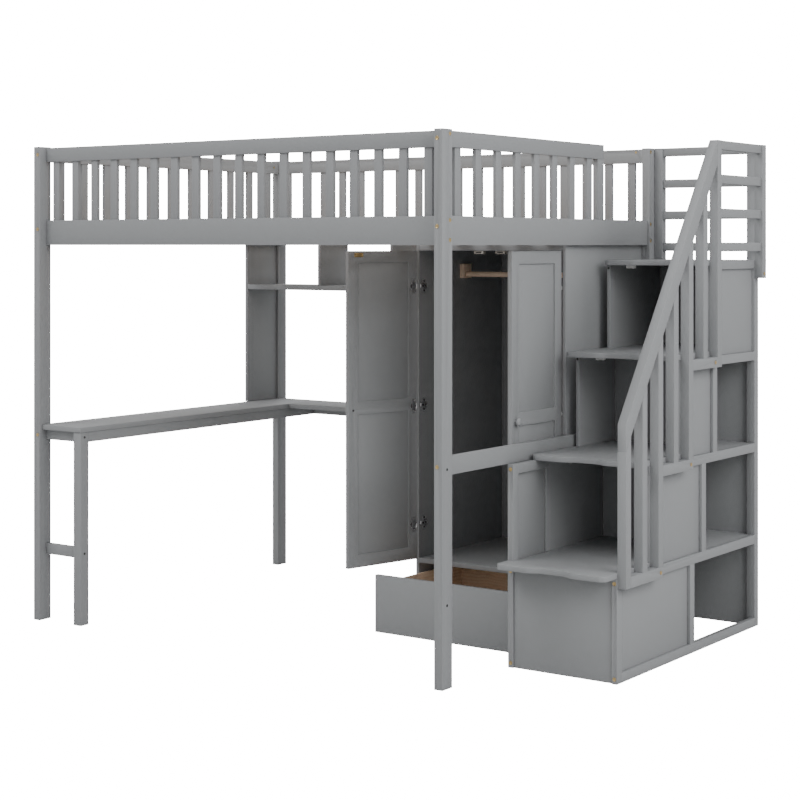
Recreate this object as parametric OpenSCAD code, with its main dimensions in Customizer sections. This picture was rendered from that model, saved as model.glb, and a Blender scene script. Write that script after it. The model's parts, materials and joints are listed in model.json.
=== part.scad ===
// Loft bed with an L-shaped desk, a bookshelf, a two-door wardrobe with a drawer, and box stairs.
// Millimetres. Modules draw in a corner frame: X from the bed's left side, Y from its front, Z up
// from the floor. placed() moves that frame so the origin is at the middle of the footprint.

/* [Bed] */
// Length between the end rails, where the mattress lies
clear_l = 1930; // [1700:10:2100]
// Width between the long rails
clear_w = 1373; // [1100:1:1600]
// Height of the posts
bed_h = 1880; // [1760:10:2000]
// Post size along the bed
post_x = 34; // [30:1:50]
// Post size across the bed
post_y = 57; // [50:1:70]
// Thickness of every rail
rail_t = 24; // [20:1:28]
// Height of the lower bed rails
bed_rail_h = 99; // [80:1:130]
// Height of the top guard rails
top_rail_h = 56; // [40:1:80]
// Height from a post's top down to the underside of the bed rails
deck_drop = 391; // [360:1:430]
// Width of a guard slat
slat_w = 35; // [25:1:45]
// Thickness of a guard slat
slat_t = 15; // [12:1:18]
// Spacing of the guard slats on the long sides
long_pitch = 107.35; // [90:0.05:130]
// Spacing of the guard slats on the ends
end_pitch = 125; // [100:1:150]
// Open entry beside the stairs, measured from the back post
entry_w = 345; // [250:1:450]

/* [Desk] */
// Height of the desk top's upper face
desk_h = 776; // [700:1:820]
// Thickness of the desk top
desk_t = 20; // [16:1:25]
// Depth of the long desk top
desk_long_d = 237; // [200:1:400]
// Depth of the desk top along the back
desk_back_d = 210; // [180:1:400]
// Height of the aprons under the desk
apron_h = 40; // [30:1:60]

/* [Bookshelf] */
// Depth of the bookshelf
book_d = 198; // [150:1:230]
// Thickness of the bookshelf's boards
book_t = 15; // [12:1:20]
// Height of the shelf's upper face
book_z = 1310; // [1150:1:1400]

/* [Wardrobe] */
// Width of the wardrobe
robe_w = 700; // [600:1:800]
// Depth of the wardrobe's inside
robe_d = 597; // [500:1:620]
// Thickness of the wardrobe's boards
robe_t = 15; // [12:1:20]
// Height of the compartment floor above the ground
robe_floor = 247; // [220:1:300]
// Thickness of a door
door_t = 18; // [16:1:22]
// Width of a door's stiles
stile_w = 46; // [42:1:60]
// Gap around each door
door_gap = 8; // [3:0.5:10]
// How far the left door stands open
left_open = 105; // [0:1:110]
// How far the right door stands open
right_open = 90; // [0:1:90]
// How far the drawer stands out
drawer_out = 287; // [0:1:360]
// Diameter of the hanging rod
rod_d = 22; // [18:1:30]

/* [Stairs] */
// Rise of one step
rise = 358; // [330:1:372]
// Run of one step
run = 231; // [200:1:260]
// Width of the stair boxes
stair_w = 442; // [380:1:520]
// Length of the top box, from its front to the stairs' back
top_box_d = 418; // [380:1:450]
// Overhang of a tread
nosing = 84; // [50:1:100]
// Overhang of the top platform
platform_nosing = 30; // [24:1:80]
// Thickness of the treads
tread_t = 20; // [18:1:25]
// Thickness of the outer frame
frame_t = 20; // [18:1:24]
// Side of the square handrail bars
bar = 34; // [28:1:40]

/* [Hidden] */
$fn = 40;

paint = [0.55, 0.56, 0.57];
pine = [0.80, 0.66, 0.47];
metal = [0.78, 0.78, 0.80];
brass = [0.76, 0.62, 0.36];
plastic = [0.90, 0.90, 0.88];

fit = 1;            // working gap between pieces that only lie side by side
bed_l = clear_l + 2 * post_x;
bed_w = clear_w + 2 * post_y;
deck = bed_h - deck_drop;
rail_top = deck + bed_rail_h;
guard_low = 4;      // the top rail's step below the posts
guard_z1 = bed_h - guard_low;
guard_z0 = guard_z1 - top_rail_h;
housing = 8;        // depth of the slat mortises
end_clear = 25;     // least gap between a guard slat and its post
entry_stile = 44;
entry_y = bed_w - post_y - entry_w;
in_x0 = post_x;
in_x1 = bed_l - post_x;
in_y0 = post_y;
in_y1 = bed_w - post_y;
stair_gap = 2;
stair_x0 = bed_l + stair_gap;
stair_x1 = stair_x0 + stair_w;
back_step = 18;     // the stairs stand this far behind the bed
stair_y1 = bed_w + back_step;
total_l = stair_x1 + bar;
total_w = stair_y1;

module placed() translate([-total_l / 2, -total_w / 2, 0]) children();

// A board from one corner to the opposite one
module board(low, high) translate(low) cube(high - low);

// ---- bolts and barrel nuts ----
bolt_d = 6;
bolt_head_d = 14;
bolt_head_t = 3;
bolt_play = 0.5;
bolt_bite = 40;     // length of a bolt inside its rail
nut_d = 10;
nut_reach = 28;     // from the rail's end to the nut
nut_l = 16;
long_bolt_z = [guard_z1 - 12, rail_top - 15, deck + 17];
end_bolt_z = [guard_z0 + top_rail_h / 2, rail_top - 36];
mid_h = 62;
mid_z0 = desk_h - 61;
mid_bolt_z = mid_z0 + mid_h / 2;
wall_bolt_z = desk_h - desk_t - apron_h / 2;
long_y = [post_y - rail_t / 2, bed_w - post_y + rail_t / 2];
end_x = [post_x - rail_t / 2, bed_l - post_x + rail_t / 2];

// Each bolt: head point, direction of the shank, direction of the rail's inner face, post size
FRAME_BOLTS = concat(
    [for (z = long_bolt_z, s = [0, 1], t = [0, 1])
        [[s * bed_l, long_y[t], z], [1 - 2 * s, 0, 0], [0, 1 - 2 * t, 0], post_x]],
    [for (z = end_bolt_z, s = [0, 1], t = [0, 1]) if (!(s == 1 && t == 1 && z > rail_top))
        [[end_x[s], t * bed_w, z], [0, 1 - 2 * t, 0], [1 - 2 * s, 0, 0], post_y]],
    [for (t = [0, 1])
        [[end_x[1], t * bed_w, mid_bolt_z], [0, 1 - 2 * t, 0], [-1, 0, 0], post_y]],
    [for (t = [0, 1])
        [[end_x[0], t * bed_w, wall_bolt_z], [0, 1 - 2 * t, 0], [1, 0, 0], post_y]]);

function turned(d) = d[0] > 0 ? [0, 90, 0] : d[0] < 0 ? [0, -90, 0] : d[1] > 0 ? [-90, 0, 0] : [90, 0, 0];

module at_bolt(b) translate(b[0]) rotate(turned(b[1])) children();

module at_nut(b)
    translate(b[0] + b[1] * (b[3] + nut_reach) + b[2] * rail_t / 2) rotate(turned(-b[2])) children();

module bolt(length) {
    cylinder(d = bolt_head_d, h = bolt_head_t);
    cylinder(d = bolt_d, h = length);
}

module bolt_bores() {
    for (b = FRAME_BOLTS) {
        at_bolt(b) translate([0, 0, -fit]) cylinder(d = bolt_head_d + bolt_play, h = bolt_head_t + fit);
        at_bolt(b) cylinder(d = bolt_d + bolt_play, h = b[3] + bolt_bite + fit);
        at_nut(b) translate([0, 0, -fit]) cylinder(d = nut_d + bolt_play, h = nut_l + 2 * fit);
    }
}

// ---- bed frame ----
module post(x, y) color(paint) placed() difference() {
    board([x, y, 0], [x + post_x, y + post_y, bed_h]);
    bolt_bores();
}
module post_front_left() post(0, 0);
module post_front_right() post(bed_l - post_x, 0);
module post_back_left() post(0, bed_w - post_y);
module post_back_right() post(bed_l - post_x, bed_w - post_y);

// Slat centres, spaced evenly about the middle of a span
function slat_count(span, pitch) = floor((span - slat_w - 2 * end_clear) / pitch) + 1;
function slat_places(from, to, pitch) = let (n = slat_count(to - from, pitch))
    [for (i = [0 : n - 1]) (from + to) / 2 + (i - (n - 1) / 2) * pitch];

long_slats = slat_places(in_x0, in_x1, long_pitch);
left_slats = slat_places(in_y0, in_y1, end_pitch);
right_slats = slat_places(in_y0, entry_y - entry_stile, end_pitch);

module long_slat_set(y) for (x = long_slats)
    board([x - slat_w / 2, y - slat_t / 2, rail_top - housing],
        [x + slat_w / 2, y + slat_t / 2, guard_z0 + housing]);
module end_slat_set(x, places) for (y = places)
    board([x - slat_t / 2, y - slat_w / 2, rail_top - housing],
        [x + slat_t / 2, y + slat_w / 2, guard_z0 + housing]);
module entry_post() board([end_x[1] - rail_t / 2, entry_y - entry_stile, rail_top],
    [end_x[1] + rail_t / 2, entry_y, guard_z0]);

module long_rail(t, z0, z1) color(paint) placed() difference() {
    board([in_x0, long_y[t] - rail_t / 2, z0], [in_x1, long_y[t] + rail_t / 2, z1]);
    long_slat_set(long_y[t]);
    bolt_bores();
}
module long_rail_front() long_rail(0, deck, rail_top);
module long_rail_back() long_rail(1, deck, rail_top);
module guard_rail_front() long_rail(0, guard_z0, guard_z1);
module guard_rail_back() long_rail(1, guard_z0, guard_z1);

module end_rail(s, z0, z1, y1, places) difference() {
    board([end_x[s] - rail_t / 2, in_y0, z0], [end_x[s] + rail_t / 2, y1, z1]);
    end_slat_set(end_x[s], places);
    bolt_bores();
}
module end_rails() color(paint) placed() {
    end_rail(0, deck, rail_top, in_y1, left_slats);
    end_rail(1, deck, rail_top, in_y1, right_slats);
}
module guard_rail_left() color(paint) placed() end_rail(0, guard_z0, guard_z1, in_y1, left_slats);
module guard_rail_right() color(paint) placed() end_rail(1, guard_z0, guard_z1, entry_y, right_slats);

module guard_slats_front() color(paint) placed() long_slat_set(long_y[0]);
module guard_slats_back() color(paint) placed() long_slat_set(long_y[1]);
module guard_slats_left() color(paint) placed() end_slat_set(end_x[0], left_slats);
module guard_slats_right() color(paint) placed() {
    end_slat_set(end_x[1], right_slats);
    entry_post();
}

module mid_rail() color(paint) placed() difference() {
    board([end_x[1] - rail_t / 2, in_y0, mid_z0], [end_x[1] + rail_t / 2, in_y1, mid_z0 + mid_h]);
    bolt_bores();
}

cleat = 25;
deck_slat_w = 68;
deck_slat_t = 15;
deck_slat_n = 14;
deck_z = deck + cleat;
beam_w = 45;
// Two ledger cleats and the centre beam
module slat_supports() color(pine) placed() {
    for (y = [in_y0, in_y1 - cleat]) board([in_x0, y, deck], [in_x1, y + cleat, deck_z]);
    board([in_x0, bed_w / 2 - beam_w / 2, deck], [in_x1, bed_w / 2 + beam_w / 2, deck_z]);
}
module mattress_slats() color(pine) placed() for (i = [0 : deck_slat_n - 1])
    let (x = in_x0 + (i + 0.5) * clear_l / deck_slat_n)
        board([x - deck_slat_w / 2, in_y0 + fit, deck_z],
            [x + deck_slat_w / 2, in_y1 - fit, deck_z + deck_slat_t]);

// ---- desk ----
desk_z = desk_h - desk_t;
desk_x0 = post_x - 16;
desk_x1 = desk_x0 + desk_long_d;
desk_y0 = 12;
robe_front = in_y1 + 14 - robe_d;
robe_back = in_y1 + 14;
robe_x1 = bed_l - post_x - 2;
robe_x0 = robe_x1 - robe_w;
desk_y1 = robe_back + 16;
leg = [41, 42];
leg_y = 15;
leg_x1 = desk_x1 - 4;
apron_x1 = desk_x1 - 6;

module post_notch(y) board([-fit, y - fit, 0], [post_x + fit, y + post_y + fit, bed_h]);
module desk_top_long() color(paint) placed() difference() {
    board([desk_x0, desk_y0, desk_z], [desk_x1, desk_y1, desk_h]);
    post_notch(0);
    post_notch(bed_w - post_y);
}
module desk_top_back() color(paint) placed()
    board([desk_x1, desk_y1 - desk_back_d, desk_z], [robe_x0, desk_y1, desk_h]);
module desk_leg() color(paint) placed()
    board([leg_x1 - leg[0], leg_y, 0], [leg_x1, leg_y + leg[1], desk_z]);
stretcher_z = 260;
stretcher_h = 42;
module desk_rails() color(paint) placed() {
    for (span = [[stretcher_z, stretcher_z + stretcher_h], [desk_z - apron_h, desk_z]])
        board([in_x0, long_y[0] - rail_t / 2, span[0]], [leg_x1 - leg[0], long_y[0] + rail_t / 2, span[1]]);
    board([in_x0, long_y[1] - rail_t / 2, desk_z - apron_h], [robe_x0, long_y[1] + rail_t / 2, desk_z]);
}
// The apron between the two left posts and the one behind the leg
module desk_aprons() color(paint) placed() {
    difference() {
        board([end_x[0] - rail_t / 2, in_y0, desk_z - apron_h], [end_x[0] + rail_t / 2, in_y1, desk_z]);
        bolt_bores();
    }
    board([apron_x1 - rail_t, leg_y + leg[1], desk_z - apron_h],
        [apron_x1, long_y[1] - rail_t / 2, desk_z]);
}

// ---- bookshelf ----
book_x0 = desk_x0 - 10;
book_y0 = in_y1 - book_d;
shelf_t = 22;
book_bays = [413, 387];      // clear widths of the two bays beside the end panel
divider_x0 = book_x0 + book_t + book_bays[0];
divider_x = [divider_x0, divider_x0 + book_t + book_bays[1]];
module shelf_side() color(paint) placed()
    board([book_x0, book_y0, desk_h], [book_x0 + book_t, in_y1, deck]);
module shelf_board() color(paint) placed()
    board([book_x0 + book_t, book_y0, book_z - shelf_t], [robe_x0, in_y1, book_z]);
module shelf_dividers() color(paint) placed() for (x = divider_x)
    board([x, book_y0, book_z], [x + book_t, in_y1, deck]);

// ---- wardrobe ----
robe_top_t = 22;
robe_floor_t = 20;
back_t = 16;
inner_x0 = robe_x0 + robe_t;
inner_x1 = robe_x1 - robe_t;
rod_y = robe_front + 313;
rod_z = deck - 119;
rod_block = [18, 60, 59];
rod_play = 0.3;
rod_seat = 12;
rod_wall = 5;
door_z0 = robe_floor;
door_z1 = deck - robe_top_t;
door_h = door_z1 - door_z0;
door_w = (robe_w - 3 * door_gap) / 2;
hinge_z = [door_z0 + 138, door_z0 + 607, door_z1 - 140];

module wardrobe_sides() color(paint) placed() for (x = [robe_x0, inner_x1])
    board([x, robe_front, 0], [x + robe_t, robe_back, deck]);
module wardrobe_back() color(paint) placed()
    board([robe_x0, robe_back, 0], [robe_x1, robe_back + back_t, deck]);
module wardrobe_boards() color(paint) placed() {
    board([inner_x0, robe_front, robe_floor - robe_floor_t], [inner_x1, robe_back, robe_floor]);
    board([inner_x0, robe_front, door_z1], [inner_x1, robe_back, deck]);
}
module rod_at(length, d, x) translate([x, rod_y, rod_z]) rotate([0, 90, 0]) cylinder(d = d, h = length);
module hanging_rod() color(pine) placed() {
    x0 = inner_x0 + rod_block[0] - rod_seat;
    rod_at(inner_x1 - rod_block[0] + rod_seat - x0, rod_d, x0);
}
module rod_blocks() color(pine) placed() for (x = [inner_x0, inner_x1 - rod_block[0]]) difference() {
    board([x, rod_y - rod_block[1] / 2, rod_z - rod_d / 2 - rod_wall],
        [x + rod_block[0], rod_y + rod_block[1] / 2, rod_z - rod_d / 2 - rod_wall + rod_block[2]]);
    rod_at(inner_x1 - inner_x0 - 2 * (rod_block[0] - rod_seat), rod_d + 2 * rod_play,
        inner_x0 + rod_block[0] - rod_seat);
}
catch_size = [44, 20, 12];
module door_catches() color(plastic) placed() for (side = [-1, 1])
    translate([(robe_x0 + robe_x1) / 2 + side * 50, robe_front + 3, door_z1 - catch_size[2]])
        translate([-catch_size[0] / 2, 0, 0]) cube(catch_size);
plate = [3, 46, 40];
arm = [8, 34, 14];
module hinge_plates() color(metal) placed() for (z = hinge_z, side = [0, 1])
    translate([side == 0 ? inner_x0 : inner_x1, robe_front + 6, z]) mirror([side, 0, 0]) {
        translate([0, 0, -plate[2] / 2]) cube(plate);
        translate([plate[0], -4, -arm[2] / 2]) cube(arm);
    }

// ---- doors, drawn closed with the hinge edge on the Z axis and the front face on Y = 0 ----
door_stand = 1;     // a closed door stays this far off the carcass
pivot_y = robe_front - door_t - door_stand;
left_pivot = [robe_x0 + door_gap, pivot_y, 0];
right_pivot = [robe_x1 - door_gap, pivot_y, 0];
top_rail_w = 46;
low_rail_w = 50;
lock_rail_z = [door_z0 + 589, door_z0 + 638];
panel_t = 8;
panel_y = 6;
groove = 6;
cup_d = 35;
cup_deep = 11;
cup_x = 20;
knob_z = door_z0 + 606;

module left_hung() placed() translate(left_pivot) rotate(-left_open) children();
module right_hung() placed() translate(right_pivot) rotate(right_open) mirror([1, 0, 0]) children();

module door_panels() for (span = [[door_z0 + low_rail_w, lock_rail_z[0]],
        [lock_rail_z[1], door_z1 - top_rail_w]])
    board([stile_w - groove, panel_y, span[0] - groove],
        [door_w - stile_w + groove, panel_y + panel_t, span[1] + groove]);
module knob_bore(d) translate([door_w - stile_w / 2, -fit, knob_z]) rotate([-90, 0, 0])
    cylinder(d = d, h = door_t + 2 * fit);
module door_frame() difference() {
    board([0, 0, door_z0], [door_w, door_t, door_z1]);
    board([stile_w, -fit, door_z0 + low_rail_w], [door_w - stile_w, door_t + fit, lock_rail_z[0]]);
    board([stile_w, -fit, lock_rail_z[1]], [door_w - stile_w, door_t + fit, door_z1 - top_rail_w]);
    door_panels();
    for (z = hinge_z) translate([cup_x, door_t + fit, z]) rotate([90, 0, 0])
        cylinder(d = cup_d, h = cup_deep + fit);
    knob_bore(5);
}
// Hinge cups, knob with its screw, and the catch's strike plate
module door_fittings() {
    for (z = hinge_z) translate([cup_x, door_t, z]) rotate([90, 0, 0]) difference() {
        union() {
            cylinder(d = cup_d, h = cup_deep);
            translate([-13, -26, -1.5]) cube([24, 52, 1.5]);
        }
        translate([0, 0, -2]) cylinder(d = cup_d - 5, h = cup_deep);
    }
    translate([door_w - stile_w / 2, 0, knob_z]) rotate([90, 0, 0]) {
        cylinder(d = 12, h = 12);
        translate([0, 0, 10]) cylinder(d = 28, h = 14);
        translate([0, 0, -door_t]) cylinder(d = 5, h = door_t + 4);
        translate([0, 0, -door_t - 1.5]) cylinder(d = 10, h = 1.5);
    }
    translate([door_w - 70, door_t, door_z1 - 24]) cube([42, 1.5, 16]);
}
module left_door_frame() color(paint) left_hung() door_frame();
module left_door_panels() color(paint) left_hung() door_panels();
module left_door_fittings() color(metal) left_hung() door_fittings();
module right_door_frame() color(paint) right_hung() door_frame();
module right_door_panels() color(paint) right_hung() door_panels();
module right_door_fittings() color(metal) right_hung() door_fittings();

// ---- drawer, drawn closed and moved out ----
drawer_gap = 2;
drawer_z = [5, robe_floor - robe_floor_t - 2];
runner_w = 13;
drawer_side_t = 12;
drawer_len = 560;
side_z = [24, 190];
drawer_y0 = robe_front;
box_x0 = inner_x0 + runner_w;
box_x1 = inner_x1 - runner_w;
box_y0 = drawer_y0 + door_t;
box_y1 = drawer_y0 + drawer_len;
bottom_t = 6;
bottom_z = side_z[0] + 10;
bottom_groove = 5;
module slid_out() placed() translate([0, -drawer_out, 0]) children();
module bottom_board() board([box_x0 + drawer_side_t - bottom_groove, box_y0, bottom_z],
    [box_x1 - drawer_side_t + bottom_groove, box_y1 - drawer_side_t, bottom_z + bottom_t]);
module drawer_front() color(paint) slid_out() board([inner_x0 + drawer_gap, drawer_y0, drawer_z[0]],
    [inner_x1 - drawer_gap, box_y0, drawer_z[1]]);
module drawer_box() color(pine) slid_out() difference() {
    union() {
        for (x = [box_x0, box_x1 - drawer_side_t])
            board([x, box_y0, side_z[0]], [x + drawer_side_t, box_y1, side_z[1]]);
        board([box_x0 + drawer_side_t, box_y1 - drawer_side_t, side_z[0]],
            [box_x1 - drawer_side_t, box_y1, side_z[1]]);
    }
    bottom_board();
}
module drawer_bottom() color(pine) slid_out() bottom_board();
slide_z = 95;
slide_h = 36;
slide_l = 500;
slide_t = 6;
slide_inset = 10;
// Fixed slide members on the wardrobe sides
module drawer_runners() color(metal) placed() for (x = [inner_x0, inner_x1 - slide_t])
    board([x, box_y0 + slide_inset, slide_z], [x + slide_t, box_y0 + slide_inset + slide_l, slide_z + slide_h]);
// Moving slide members on the drawer
module drawer_slides() color(metal) slid_out() for (x = [box_x0 - slide_t, box_x1])
    board([x, box_y0 + slide_inset, slide_z + 4],
        [x + slide_t, box_y0 + slide_inset + slide_l, slide_z + slide_h - 4]);

// ---- stairs ----
wall_t = 15;
post_w = 22;
stile = 34;
rail_h = 34;
box_y = [for (k = [0 : 3]) stair_y1 - top_box_d - (3 - k) * run];
platform_z = 4 * rise - tread_t;
box_z = [rise, 2 * rise, 3 * rise, platform_z];
frame_z = [rise, 2 * rise, 3 * rise, 4 * rise];
frame_x0 = stair_x1 - frame_t;
stile_y = [for (k = [0 : 2]) box_y[2] + 73 + k * (run * 0.4)];
part_y = [for (y = stile_y) y + stile / 2 - wall_t / 2];
back_y0 = stair_y1 - wall_t;

// Stepped inner wall behind the open frame of the two lowest steps
module stair_inner_wall() color(paint) placed() {
    translate([stair_x0, 0, 0]) rotate([90, 0, 90]) linear_extrude(wall_t) polygon([
        [box_y[1], 0], [back_y0, 0], [back_y0, box_z[3]], [box_y[3], box_z[3]],
        [box_y[3], box_z[2]], [box_y[2], box_z[2]], [box_y[2], box_z[1]], [box_y[1], box_z[1]]]);
}
// Rail 0 lies on the floor and rail k closes box k; the lowest two butt against the front stile
module frame_rail(k) board(
    [frame_x0, box_y[max(k - 1, 0)] + (k < 2 ? stile : 0), k == 0 ? 0 : frame_z[k - 1] - rail_h],
    [stair_x1, stair_y1 - stile, k == 0 ? rail_h : frame_z[k - 1]]);
module inner_rail(z1) board([stair_x0, box_y[0] + stile, z1 - rail_h], [stair_x0 + post_w, box_y[1], z1]);
module stair_frame_rails() color(paint) placed() difference() {
    union() {
        for (k = [0 : 4]) frame_rail(k);
        for (z = [rail_h, rise, 2 * rise]) inner_rail(z);
    }
    stair_bores();
}
// Upright of the outer frame between two rails
module stiles_at(k, y) board([frame_x0, y, k == 0 ? rail_h : frame_z[k - 1]],
    [stair_x1, y + stile, frame_z[k] - rail_h]);
module stair_frame_stiles() color(paint) placed() difference() {
    union() {
        board([frame_x0, box_y[0], 0], [stair_x1, box_y[0] + stile, rise]);
        for (k = [1 : 3]) stiles_at(k, box_y[k]);
        for (k = [0 : 2]) stiles_at(k, stile_y[k]);
        board([stair_x0, box_y[0], 0], [stair_x0 + post_w, box_y[0] + stile, 2 * rise]);
    }
    stair_bores();
}
side_panel_t = 6;
panel_line = 2;     // open line between a panel and its stiles
module side_panel(k, y1) board(
    [frame_x0 + 3, box_y[k] + stile + panel_line, k == 0 ? rail_h : frame_z[k - 1]],
    [frame_x0 + 3 + side_panel_t, y1 - panel_line, frame_z[k] - rail_h]);
module stair_panels() color(paint) placed() {
    for (k = [0 : 2]) side_panel(k, stile_y[k]);
    side_panel(3, stair_y1 - stile);
    for (z = [[rail_h, rise - rail_h], [rise, 2 * rise - rail_h]])
        board([stair_x0 + 1, box_y[0] + stile, z[0]],
            [stair_x0 + 1 + side_panel_t, box_y[1] - panel_line, z[1]]);
    board([stair_x0 + post_w, box_y[0] + 5, 0], [frame_x0, box_y[0] + 5 + wall_t, rise]);
}
module stair_partitions() color(paint) placed() for (k = [0 : 2])
    board([stair_x0 + wall_t, part_y[k], k == 0 ? 0 : k * rise],
        [frame_x0, part_y[k] + wall_t, box_z[k] - (k < 2 ? wall_t : 0)]);
// Floors of the two open bays at the back
module stair_floors() color(paint) placed() difference() {
    for (k = [1, 2])
        board([stair_x0 + wall_t, part_y[k - 1], k * rise - wall_t], [frame_x0, back_y0, k * rise]);
    far_post();
}
module far_post() board([stair_x1 - stile, stair_y1 - stile, 0], [stair_x1, stair_y1, bed_h]);
module stair_back() color(paint) placed()
    board([stair_x0, back_y0, 0], [stair_x1 - stile, stair_y1, box_z[3]]);

// Tread outline: rounded front corners and a shallow wave in the middle of the front edge
wave_flat = 38;
wave_ramp = 60;
wave_half = wave_flat + wave_ramp;
wave_deep = 21;
corner_r = 24;
steps = 16;
function wave(x) = abs(x) < wave_flat ? wave_deep
    : wave_deep * (1 + cos(180 * (abs(x) - wave_flat) / wave_ramp)) / 2;
function arc(cx, cy, r, from, to) = [for (i = [0 : 6]) let (a = from + (to - from) * i / 6)
    [cx + r * cos(a), cy + r * sin(a)]];
function tread_front(x0, x1, y) = let (xc = (x0 + x1) / 2) concat(
    arc(x0 + corner_r, y + corner_r, corner_r, 180, 270),
    [for (i = [0 : steps]) let (x = xc + wave_half * (2 * i / steps - 1))
        [x, y + wave(x - xc)]],
    arc(x1 - corner_r, y + corner_r, corner_r, 270, 360));
// Each tread runs on inside the next box as its floor
tongue_y1 = [part_y[1], part_y[2], back_y0];
module tread(k) {
    beside_post = k == 0 ? post_w + fit : 0;
    left_step = box_y[k] - (k == 0 ? fit : 0);
    tongue_x0 = stair_x0 + wall_t;
    y1 = box_y[k + 1];
    translate([0, 0, box_z[k]]) linear_extrude(tread_t) polygon(concat(
        tread_front(stair_x0, stair_x1, box_y[k] - nosing),
        [[stair_x1, y1], [frame_x0, y1], [frame_x0, tongue_y1[k]], [tongue_x0, tongue_y1[k]],
            [tongue_x0, y1], [stair_x0 + beside_post, y1], [stair_x0 + beside_post, left_step],
            [stair_x0, left_step]]));
}
module treads() color(paint) placed() difference() {
    for (k = [0 : 2]) tread(k);
    far_post();
}
// The platform lies inside the outer frame behind the top box's front
module platform() color(paint) placed() difference() {
    translate([0, 0, platform_z]) linear_extrude(tread_t) polygon(concat(
        tread_front(stair_x0, stair_x1, box_y[3] - platform_nosing),
        [[stair_x1, box_y[3]], [frame_x0, box_y[3]], [frame_x0, stair_y1], [stair_x0, stair_y1]]));
    far_post();
}
clip = [36, 16, 12];
module tread_clips() color(plastic) placed() for (k = [1 : 3], side = [-1, 1])
    translate([(stair_x0 + stair_x1) / 2 + side * 120 - clip[0] / 2, box_y[k] + 4, box_z[k] - clip[2]])
        cube(clip);

// ---- handrail ----
bar_pitch = (box_y[3] - 3 - box_y[0] - 4) / 6;
bar_y = [for (i = [0 : 6]) box_y[0] + 4 + i * bar_pitch];
hand_z0 = 883;
hand_z1 = bed_h;
hand_slope = (hand_z1 - hand_z0) / (bar_y[6] - bar_y[0]);
hand_depth = 94;
rail_x0 = stair_x1;
rail_x1 = stair_x1 + bar;
far_y = stair_y1 - bar;
foot_h = 38;
foot_z1 = [rise + 5, 2 * rise + 1, 3 * rise];
foot_from = [bar_y[0] + bar, bar_y[2] + bar, bar_y[4] + bar];
foot_to = [bar_y[2] + bar, bar_y[4] + bar, bar_y[6]];
bar_foot = [foot_z1[0] - foot_h, foot_z1[0], foot_z1[0], foot_z1[1], foot_z1[1], foot_z1[2], foot_z1[2]];
function hand_under(y) = hand_z0 - hand_depth + (y - bar_y[0]) * hand_slope;

module in_side(low) translate([low, 0, 0]) rotate([90, 0, 90]) linear_extrude(bar) children();
// Bolts through the stairs' front uprights and through the handrail's feet: head point, direction, length
front_bolt_l = stile + 40;
side_bolt_l = bar + 14;
STAIR_BOLTS = concat(
    [for (z = [rail_h, rise, 2 * rise])
        [[stair_x0 + post_w / 2, box_y[0], z - rail_h / 2], [0, 1, 0], front_bolt_l]],
    [for (z = [rail_h, rise]) [[stair_x1 - frame_t / 2, box_y[0], z - rail_h / 2], [0, 1, 0], front_bolt_l]],
    [for (k = [0 : 2]) [[rail_x1, foot_to[k] - bar / 2, foot_z1[k] - foot_h / 2], [-1, 0, 0], side_bolt_l]],
    [[[rail_x1, far_y + bar / 2, box_z[3] - stile], [-1, 0, 0], side_bolt_l]]);
module stair_bores() for (b = STAIR_BOLTS) at_bolt(b) {
    translate([0, 0, -fit]) cylinder(d = bolt_head_d + bolt_play, h = bolt_head_t + fit);
    cylinder(d = bolt_d + bolt_play, h = b[2] + fit);
}
module balusters() color(paint) placed() difference() {
    in_side(rail_x0) {
        for (i = [0 : 5]) polygon([[bar_y[i], bar_foot[i]], [bar_y[i] + bar, bar_foot[i]],
            [bar_y[i] + bar, hand_under(bar_y[i] + bar)], [bar_y[i], hand_under(bar_y[i])]]);
        polygon([[bar_y[6], foot_z1[2] - foot_h], [bar_y[6] + bar, foot_z1[2] - foot_h],
            [bar_y[6] + bar, hand_z1], [bar_y[6], hand_z1]]);
        polygon([[far_y, box_z[3] - 52], [far_y + bar, box_z[3] - 52], [far_y + bar, bed_h],
            [far_y, bed_h]]);
    }
    stair_bores();
}
module handrail() color(paint) placed() in_side(rail_x0) polygon([[bar_y[0], hand_z0],
    [bar_y[0], hand_z0 - hand_depth], [bar_y[6], hand_z1 - hand_depth], [bar_y[6], hand_z1]]);
module handrail_feet() color(paint) placed() difference() {
    for (k = [0 : 2])
        board([rail_x0, foot_from[k], foot_z1[k] - foot_h], [rail_x1, foot_to[k], foot_z1[k]]);
    stair_bores();
}

guard_pitch = 127;
guard_bar = 22;
guard_inset = (bar - guard_bar) / 2;
guard_tops = [for (i = [0 : 3]) bed_h - i * guard_pitch];
module stair_guard_posts() color(paint) placed() difference() {
    union() {
        board([stair_x0, far_y, box_z[3] + tread_t], [stair_x0 + bar, stair_y1, bed_h]);
        far_post();
    }
    stair_bores();
}
module stair_guard_rails() color(paint) placed() for (z = guard_tops) {
    board([rail_x0 + guard_inset, bar_y[6] + bar, z - bar], [rail_x1 - guard_inset, far_y, z]);
    board([stair_x0 + bar, far_y + guard_inset, z - bar], [stair_x1 - stile, stair_y1 - guard_inset, z]);
}

module bolts_and_nuts() color(brass) placed() {
    for (b = FRAME_BOLTS) {
        at_bolt(b) bolt(b[3] + nut_reach - nut_d / 2);
        at_nut(b) cylinder(d = nut_d, h = nut_l);
    }
    for (b = STAIR_BOLTS) at_bolt(b) bolt(b[2]);
}

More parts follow.
